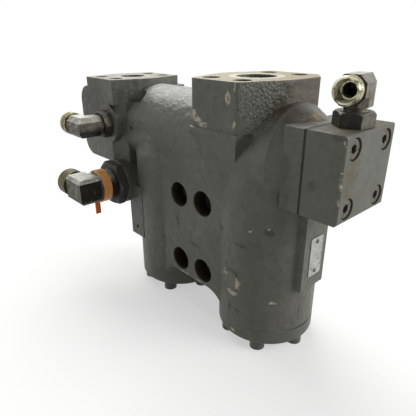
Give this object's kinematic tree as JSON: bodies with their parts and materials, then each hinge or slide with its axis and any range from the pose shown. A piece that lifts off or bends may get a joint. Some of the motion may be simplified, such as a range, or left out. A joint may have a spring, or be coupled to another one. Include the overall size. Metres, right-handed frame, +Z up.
{
  "type": "hose rupture valve",
  "caption": "Cast hydraulic hose rupture valve with two flanged hose ports, poppets in upright barrels, a level main spool, a pilot block and tube elbows.",
  "frame": {"origin": "centre of the cylinder port, in the plane of the rear mounting face", "axes": "+Y out of the mounting face towards the cylinder, +Z up towards the hose flanges, +X along the main spool towards the pilot block"},
  "size_m": [0.3366, 0.1456, 0.2283],
  "materials": {
    "housing_paint": "matt",
    "black_steel": "black oxide",
    "zinc_steel": "zinc plated",
    "bright_steel": "ground",
    "spring_steel": "dull",
    "seal_rubber": "matt",
    "tie_plastic": "matt",
    "plate_aluminium": "dull"
  },
  "bodies": {
    "housing": {"valve_housing": "housing_paint", "pilot_block": "housing_paint", "pilot_block_screws": "black_steel", "spool_spring": "spring_steel", "spool_end_cap": "housing_paint", "spool_cap_screws": "black_steel", "load_holding_seat": "bright_steel", "poppet_spring": "spring_steel", "right_bottom_cover": "housing_paint", "right_cover_seal": "seal_rubber", "right_cover_screws": "black_steel", "lifting_check_seat": "bright_steel", "check_spring": "spring_steel", "left_bottom_cover": "housing_paint", "left_cover_seal": "seal_rubber", "left_cover_screws": "black_steel", "cylinder_port_seal": "seal_rubber", "pilot_elbow_nut": "zinc_steel", "upper_elbow_nut": "zinc_steel", "lower_elbow_nut": "zinc_steel", "elbow_seals": "seal_rubber", "nameplate": "plate_aluminium", "nameplate_rivets": "bright_steel"},
    "main_spool": {"main_spool": "bright_steel", "spool_spring_seat": "bright_steel"},
    "pilot_piston": {"pilot_piston": "bright_steel", "pilot_piston_seal": "seal_rubber"},
    "load_holding_poppet": {"load_holding_poppet": "bright_steel"},
    "lifting_check_poppet": {"lifting_check_poppet": "bright_steel"},
    "pilot_elbow": {"pilot_elbow": "zinc_steel"},
    "upper_elbow": {"upper_elbow": "zinc_steel"},
    "lower_elbow": {"lower_elbow": "zinc_steel", "cable_tie": "tie_plastic"}
  },
  "joints": [
    {"name": "spool_shift", "type": "slide", "parent": "housing", "child": "main_spool", "axis": [-1, 0, 0], "range_m": [0, 0.009], "stiffness_N_per_m": 12000, "springref_m": -0.004, "deforming": ["spool_spring"]},
    {"name": "pilot_piston_shift", "type": "slide", "parent": "housing", "child": "pilot_piston", "axis": [-1, 0, 0], "range_m": [0, 0.009]},
    {"name": "load_holding_lift", "type": "slide", "parent": "housing", "child": "load_holding_poppet", "axis": [0, 0, -1], "range_m": [0, 0.008], "stiffness_N_per_m": 15000, "springref_m": -0.005, "deforming": ["poppet_spring"]},
    {"name": "check_lift", "type": "slide", "parent": "housing", "child": "lifting_check_poppet", "axis": [0, 0, -1], "range_m": [0, 0.005], "stiffness_N_per_m": 4000, "springref_m": -0.003, "deforming": ["check_spring"]},
    {"name": "pilot_elbow_swivel", "type": "hinge", "parent": "housing", "child": "pilot_elbow", "pos_m": [0.12395, -0.046, 0.12], "axis": [0, 0, 1], "range_deg": [-180, 180]},
    {"name": "upper_elbow_swivel", "type": "hinge", "parent": "housing", "child": "upper_elbow", "pos_m": [-0.1148, -0.11, 0.0848], "axis": [0, 1, 0], "range_deg": [-30, 180]},
    {"name": "lower_elbow_swivel", "type": "hinge", "parent": "housing", "child": "lower_elbow", "pos_m": [-0.1038, -0.11, 0.0263], "axis": [0, 1, 0], "range_deg": [-180, 30]}
  ],
  "couplings": [
    {"joint": "pilot_piston_shift", "follows": "spool_shift", "ratio": 1}
  ]
}
